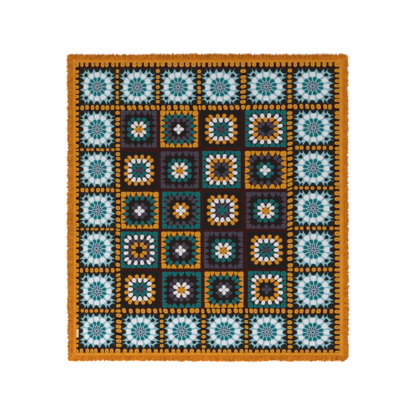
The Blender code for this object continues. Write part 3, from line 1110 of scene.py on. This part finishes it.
def add_yarns(side):
    """One side's brush fringe, joined from bent copies of the one yarn."""
    draw = np.random.default_rng(side.seed)
    whole = tips_length(side)
    count = int(whole * YARNS_PER_METRE)
    margin = END_CLEAR + YARN_RADIUS
    under = np.arange(count) % 2 == 0
    loose = np.where(under, LOOSE, 1.0)
    at = np.linspace(margin, whole - margin, count) + draw.normal(0.0, ROOT_SCATTER, count) * loose
    at = np.clip(at, margin, whole - margin)

    # Root and tip lines at close stations, so that a yarn's place is looked up between them
    stations = np.linspace(0.0, whole, STATIONS)
    roots = np.array([root_place(side, d) for d in stations])
    tips = np.array([tip_place(side, d) for d in stations])

    # Each tuft pulls its yarns' tips together, and reaches out more or less than its neighbours
    tufts = int(whole / TUFT_PITCH)
    tuft_at = (np.arange(tufts) + 0.5 + draw.uniform(-0.3, 0.3, tufts)) * whole / tufts
    nearest = np.abs(at[:, None] - tuft_at[None, :]).argmin(axis=1)
    tuft_reach = draw.normal(0.0, TUFT_REACH, tufts).clip(-2.0 * TUFT_REACH, 1.2 * TUFT_REACH)
    layer = np.where(under, draw.uniform(0.0, 0.3, count), draw.uniform(0.3, 1.0, count))
    off_middle = at - tuft_at[nearest]
    pull = np.where(under, 0.0, TUFT_PULL)
    tip_at = at - pull * off_middle + draw.normal(0.0, TIP_SCATTER, count) * loose
    tip_at = np.clip(tip_at, margin, whole - margin)
    reach = tuft_reach[nearest] - FALL_AWAY * np.abs(off_middle) + draw.normal(0.0, REACH_SPREAD, count)
    reach = np.where(under, reach - UNDER_SHORTER, reach).clip(*REACH_LIMITS) + side.past

    root = np.stack([np.interp(at, stations, roots[:, axis]) for axis in range(2)], axis=1)
    tip = np.stack([np.interp(tip_at, stations, tips[:, axis]) for axis in range(2)], axis=1)
    out = tip - root
    length = np.linalg.norm(out, axis=1, keepdims=True)
    out /= length
    root -= out * ROOT_INSET
    tip += out * reach[:, None]
    beside = np.stack([-out[:, 1], out[:, 0]], axis=1)

    bulk = draw.uniform(0.55, 1.0, tufts)[nearest] * layer
    heights = np.stack([
        0.0012 + layer * 0.0022,
        LOW_MIDDLE + bulk * (HIGH_MIDDLE - LOW_MIDDLE),
        LOW_TIP + bulk * (HIGH_TIP - LOW_TIP),
    ], axis=1)
    tuft_curl = np.where(under, 0.0, draw.normal(0.0, TUFT_CURL, tufts)[nearest])
    curl = tuft_curl + draw.normal(0.0, SIDE_CURL, count) * loose

    # Bend one copy of the yarn for each place
    t = YARN_SHAPE[None, :, 1]
    shares = ((1.0 - t) ** 2, 2.0 * t * (1.0 - t), t ** 2)
    level = sum(share * heights[:, None, step] for step, share in enumerate(shares))
    sideways = YARN_SHAPE[None, :, 0] * YARN_RADIUS + curl[:, None] * 4.0 * t * (1.0 - t)
    flat = root[:, None, :] * (1.0 - t[..., None]) + tip[:, None, :] * t[..., None]
    flat = flat + beside[:, None, :] * sideways[..., None]
    rise = (level + YARN_SHAPE[None, :, 2] * YARN_RADIUS).clip(0.0001, None)
    places = np.concatenate([flat, rise[..., None]], axis=2).reshape(-1, 3)
    faces = (YARN_FACES[None] + (np.arange(count) * len(YARN_SHAPE))[:, None, None]).reshape(-1, 3)

    mesh = bpy.data.meshes.new("brush_fringe_" + side.name)
    mesh.from_pydata(places.tolist(), [], faces.tolist())
    bunch = (at / BUNCH_PITCH).astype(int)
    dye = draw.uniform(0.0, 1.0 - EVERY_OTHER, bunch.max() + 1)[bunch] + EVERY_OTHER * (bunch % 2)
    # Painted shade: the layer's share makes the low yarns, under the tufts, darker.
    tones = (dye, layer, draw.uniform(0.0, 1.0, count))
    # Painted light and shade: the side's darker power makes all its yarns darker or lighter, for how
    # the light falls on that side.
    shade = 0.02 + 0.96 * sum(share * tone for share, tone in zip(TONE_SHARES, tones)) ** side.darker
    shade = np.repeat(shade, len(YARN_SHAPE))
    along = np.tile(YARN_SHAPE[:, 1], count) * 0.96 + 0.02
    ring_turn = np.tile(YARN_SHAPE[:, 0], count) * 0.004
    corners = np.empty(len(mesh.loops), dtype=np.int64)
    mesh.loops.foreach_get("vertex_index", corners)
    coordinates = np.stack([shade + ring_turn, along], axis=1)[corners].astype(np.float32)
    for name in ("strand", "OFBake"):
        mesh.uv_layers.new(name=name).data.foreach_set("uv", coordinates.ravel())
    mesh.shade_smooth()
    piece = bpy.data.objects.new(mesh.name, mesh)
    bpy.context.collection.objects.link(piece)
    return piece


fringes = {side.name: add_yarns(side) for side in SIDES}
print("yarn triangles:", {name: len(piece.data.polygons) for name, piece in fringes.items()})

# %% Mustard acrylic yarn, as a material
YARN_DARK = linear("7E3A02")
YARN_MIDDLE = linear("D07A10")
YARN_LIGHT = linear("F0A02A")
YARN_TIP = linear("F2B042")
YARN_ROOT = linear("D08117")
FLECK_SCALE = (10.0, 4.5, 1.0)  # across the yarns' shades, and along a yarn
FLECK_DEPTH = 2.4

yarn_finish = bpy.data.materials.new("acrylic_yarn_mustard")
yarn_finish.use_nodes = True
tree = yarn_finish.node_tree
shader = tree.nodes["Principled BSDF"]
shader.inputs["Roughness"].default_value = 0.85
shader.inputs["Sheen Weight"].default_value = 0.02
shader.inputs["Specular IOR Level"].default_value = 0.08
strand = add_node(tree, "UVMap", uv_map="strand").outputs[0]
split = add_node(tree, "SeparateXYZ", {0: strand})
stretched = calculate_vector(tree, "MULTIPLY", strand, FLECK_SCALE)
flecks = add_node(tree, "TexNoise", {"Vector": stretched, "Scale": 1.0, "Detail": 2.0}).outputs[0]
fleck_tone = calculate(tree, "MULTIPLY_ADD", flecks, FLECK_DEPTH, 0.25 - FLECK_DEPTH / 2.0)
tone = calculate(tree, "MULTIPLY_ADD", split.outputs[0], 0.55, fleck_tone)
darker = blend_colours(tree, soft_step(tree, tone, 0.0, 0.50), YARN_DARK, YARN_MIDDLE)
colour = blend_colours(tree, soft_step(tree, tone, 0.55, 1.0), darker, YARN_LIGHT)
colour = blend_colours(tree, soft_step(tree, split.outputs[1], 0.80, 0.97), colour, YARN_TIP)
near_root = calculate(tree, "MULTIPLY", soft_step(tree, split.outputs[1], 0.45, 0.10), 0.75)
colour = blend_colours(tree, near_root, colour, YARN_ROOT)
tree.links.new(colour, shader.inputs["Base Color"])
for side in SIDES:
    piece = fringes[side.name]
    piece.data.materials.append(yarn_finish)
    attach(piece, "root")
    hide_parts("fringe_" + side.name)

# %% [markdown]
# ## The label
#
# A small cream ribbon is caught under the left tape near the bottom. It is blank. It starts as a
# cube at the label's size, gets cuts along its length, and its free end lifts a little.

# %% Model the label
LABEL_WIDTH = 0.0102
LABEL_LENGTH = 0.0410
LABEL_THICK = 0.0006
LABEL_MIDDLE = (-0.62875, -0.6060, 0.0026)
LABEL_SEWN = (-0.6316, -0.6324)  # its sewn edge, where the tape's colour shows through, begins here

deselect_all()
label_size = (LABEL_WIDTH, LABEL_LENGTH, LABEL_THICK)
bpy.ops.mesh.primitive_cube_add(size=1.0, location=LABEL_MIDDLE, scale=label_size)
label = bpy.context.object
label.name = "blank_ribbon_label"
bpy.ops.object.transform_apply(location=True, rotation=True, scale=True)
bpy.ops.object.mode_set(mode="EDIT")
bpy.ops.mesh.select_all(action="SELECT")
bpy.ops.mesh.bevel(offset=0.00018, segments=2, affect="EDGES")
bpy.ops.mesh.select_all(action="SELECT")
bpy.ops.mesh.subdivide(number_cuts=3)
bpy.ops.object.mode_set(mode="OBJECT")
for vertex in label.data.vertices:
    from_middle = (vertex.co.y - LABEL_MIDDLE[1]) / LABEL_LENGTH
    free = (vertex.co.x - LABEL_MIDDLE[0]) / LABEL_WIDTH + 0.5
    vertex.co.z += 0.0006 * free * (0.5 + math.sin(5.0 * from_middle) * 0.5)
bpy.ops.object.shade_smooth_by_angle(angle=math.radians(40.0))

ribbon = bpy.data.materials.new("polyester_satin_ribbon")
ribbon.use_nodes = True
tree = ribbon.node_tree
shader = tree.nodes["Principled BSDF"]
shader.inputs["Roughness"].default_value = 0.45
shader.inputs["Sheen Weight"].default_value = 0.1
spot = add_node(tree, "TexCoord").outputs["Object"]
height = weave_height(tree, 0.0012)
bump = add_node(tree, "Bump", {"Height": height, "Strength": 0.2, "Distance": 0.0001})
tree.links.new(bump.outputs[0], shader.inputs["Normal"])
colour = uneven_ground(tree, linear("C9A885"), linear("D2B18F"))
across = add_node(tree, "SeparateXYZ", {0: spot}).outputs[0]
colour = blend_colours(tree, soft_step(tree, across, *LABEL_SEWN), colour, linear("C98A3C"))
finish_cloth(tree, colour, height)
label.data.materials.append(ribbon)
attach(label, "root")
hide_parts("side_label")
print("label:", len(label.data.polygons), "faces")

# %% [markdown]
# ## Tacks on the mitres
#
# At each mitre a few stitches of pale thread hold the folded tape down. One stitch is a cube with
# rounded edges that is cut across and arched, so that it dips into the tape at both ends, and every
# other stitch is a copy of it.
# Their pale colour is also a painted highlight, for the glint of light on each folded mitre.

# %% Sew the tacks
STITCH_WIDTH = 0.0013
STITCH_LENGTH = 0.0044
STITCH_THICK = 0.0007
STITCH_PITCH = 0.0048
STITCH_LEVEL = 0.0039
STITCH_ARCH = 0.0006
Tack = namedtuple("Tack", "x y turn stitches")
TACKS = (  # the middle of each row of stitches, and its turn from +Y in degrees
    Tack(-0.6440, 0.7050, 0, 3),
    Tack(0.6394, 0.7112, -59, 3),
    Tack(0.6444, -0.7105, 0, 2),
    Tack(-0.6460, -0.7125, -63, 3),
)


def add_stitch():
    """The one stitch that is copied, lying along Y round the origin."""
    deselect_all()
    bpy.ops.mesh.primitive_cube_add(size=1.0, scale=(STITCH_WIDTH, STITCH_LENGTH, STITCH_THICK))
    stitch = bpy.context.object
    bpy.ops.object.transform_apply(location=True, rotation=True, scale=True)
    bpy.ops.object.mode_set(mode="EDIT")
    bpy.ops.mesh.select_all(action="SELECT")
    bpy.ops.mesh.bevel(offset=0.0003, segments=2, affect="EDGES")
    for cut in (-0.25, 0.0, 0.25):
        bpy.ops.mesh.select_all(action="SELECT")
        bpy.ops.mesh.bisect(plane_co=(0.0, cut * STITCH_LENGTH, 0.0), plane_no=(0.0, 1.0, 0.0))
    bpy.ops.object.mode_set(mode="OBJECT")
    for vertex in stitch.data.vertices:
        vertex.co.z += STITCH_ARCH * math.cos(math.pi * vertex.co.y / STITCH_LENGTH)
    return stitch


stitch_model = add_stitch()
stitches = []
for tack in TACKS:
    for number in range(tack.stitches):
        along = (number - (tack.stitches - 1) / 2.0) * STITCH_PITCH
        turn = math.radians(tack.turn)
        copy = stitch_model.copy()
        copy.data = stitch_model.data.copy()
        copy.location = (tack.x - along * math.sin(turn), tack.y + along * math.cos(turn), STITCH_LEVEL)
        copy.rotation_euler = (0.0, 0.0, turn)
        bpy.context.collection.objects.link(copy)
        stitches.append(copy)
bpy.data.objects.remove(stitch_model, do_unlink=True)
deselect_all()
for stitch in stitches:
    stitch.select_set(True)
tacks = stitches[0]
bpy.context.view_layer.objects.active = tacks
bpy.ops.object.join()
bpy.ops.object.transform_apply(location=True, rotation=True, scale=True)
bpy.ops.object.shade_smooth_by_angle(angle=math.radians(40.0))
tacks.name = "mitre_tacks"

thread = bpy.data.materials.new("spun_polyester_sewing_thread")
thread.use_nodes = True
tree = thread.node_tree
shader = tree.nodes["Principled BSDF"]
shader.inputs["Roughness"].default_value = 0.6
spot = add_node(tree, "TexCoord").outputs["Object"]
feeds = {"Vector": spot, "Scale": 260.0, "Distortion": 1.0}
twist = add_node(tree, "TexWave", feeds, bands_direction="DIAGONAL").outputs[1]
bump = add_node(tree, "Bump", {"Height": twist, "Strength": 0.4, "Distance": 0.0001})
tree.links.new(bump.outputs[0], shader.inputs["Normal"])
# Painted highlight and shade: the pale thread stands for the mitre's glint, and its colour is darker in
# the twist's grooves.
colour = blend_colours(tree, twist, linear("DCAE64"), linear("E8BE78"))
tree.links.new(colour, shader.inputs["Base Color"])
tacks.data.materials.append(thread)
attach(tacks, "root")
print("tacks:", len(stitches), "stitches")
